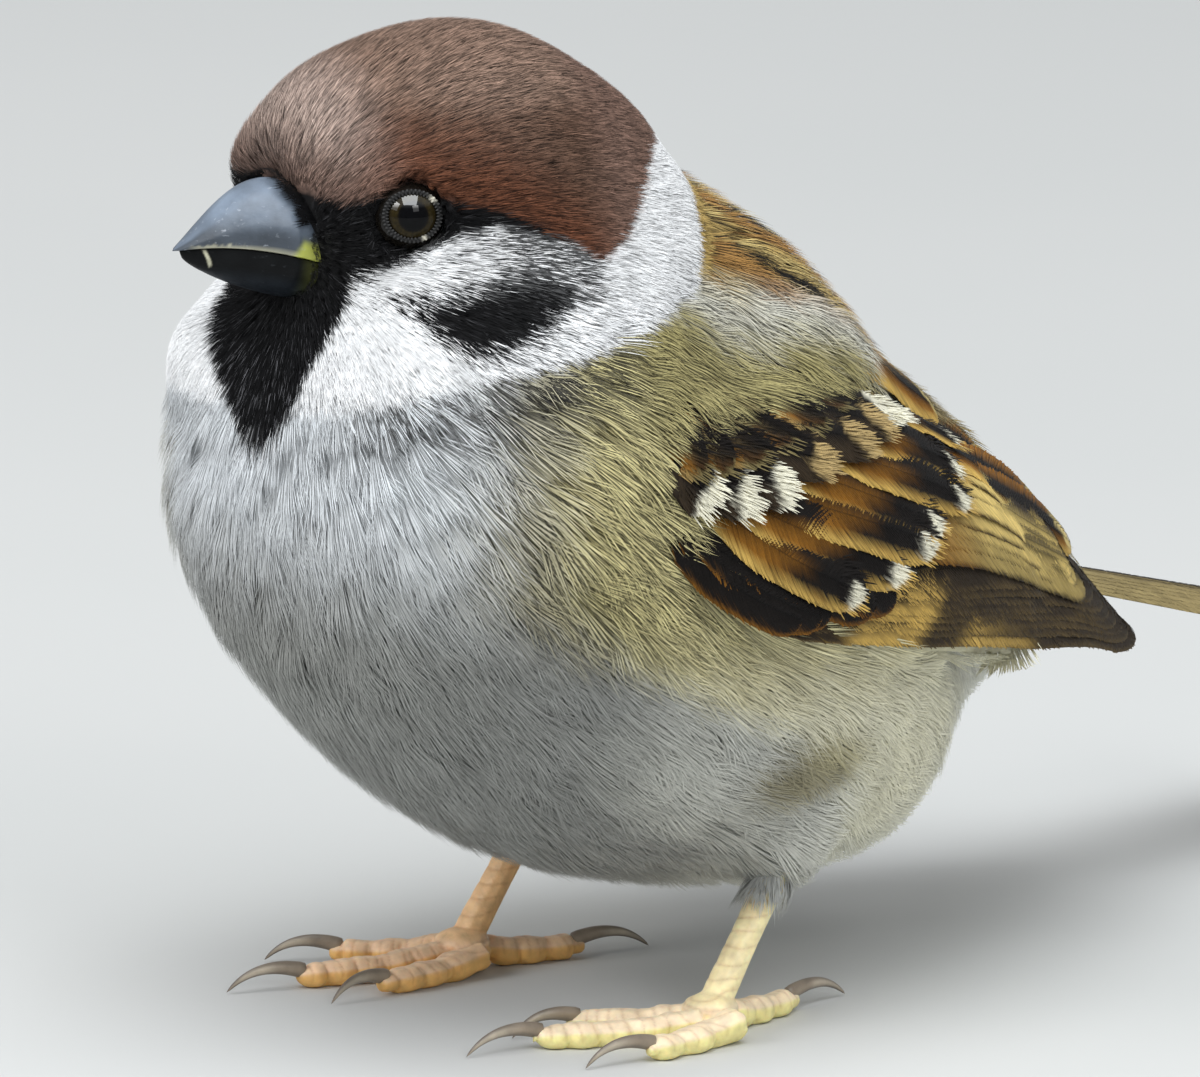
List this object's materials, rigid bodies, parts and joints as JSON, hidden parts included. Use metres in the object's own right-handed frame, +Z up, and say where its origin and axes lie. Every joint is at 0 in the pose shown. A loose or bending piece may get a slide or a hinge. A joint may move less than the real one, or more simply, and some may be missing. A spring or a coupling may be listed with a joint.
{
  "type": "tree sparrow, standing",
  "caption": "Life-size still model of a fluffed Eurasian tree sparrow, standing with folded wings and its head turned a little to its right.",
  "frame": {"origin": "middle of the bird's box on the floor it stands on", "axes": "the bird faces -Y, its own left is +X, +Z is up, and its length from bill to tail runs along Y"},
  "size_m": [0.0522, 0.12, 0.078],
  "materials": {
    "crown_plumage": "fine, soft, hair-like feathers, chestnut, with black and white face marks",
    "collar_plumage": "soft white feathers",
    "body_plumage": "soft, loose, overlapping grey-white to olive-buff feathers",
    "flight_feathers": "smooth dark brown feathers with rufous and buff edges",
    "bill": "hard slate-grey horn, satin",
    "eye": "wet, glossy, dark brown",
    "foot_skin": "scaly pale yellowish-pink skin",
    "claw": "smooth brown-grey horn, slightly translucent"
  },
  "bodies": {
    "root": {"bill_lower": "bill", "bill_upper": "bill", "claw_left_hind": "claw", "claw_left_inner": "claw", "claw_left_middle": "claw", "claw_left_outer": "claw", "claw_right_hind": "claw", "claw_right_inner": "claw", "claw_right_middle": "claw", "claw_right_outer": "claw", "eye_left": "eye", "eye_right": "eye", "foot_left": "foot_skin", "foot_right": "foot_skin", "head": "crown_plumage", "neck": "collar_plumage", "tail": "flight_feathers", "tarsus_left": "foot_skin", "tarsus_right": "foot_skin", "thigh_left": "body_plumage", "thigh_right": "body_plumage", "toe_left_hind": "foot_skin", "toe_left_inner": "foot_skin", "toe_left_middle": "foot_skin", "toe_left_outer": "foot_skin", "toe_right_hind": "foot_skin", "toe_right_inner": "foot_skin", "toe_right_middle": "foot_skin", "toe_right_outer": "foot_skin", "trunk": "body_plumage", "wing_left_coverts": "flight_feathers", "wing_left_primaries": "flight_feathers", "wing_left_secondaries": "flight_feathers", "wing_right_coverts": "flight_feathers", "wing_right_primaries": "flight_feathers", "wing_right_secondaries": "flight_feathers"}
  },
  "joints": []
}
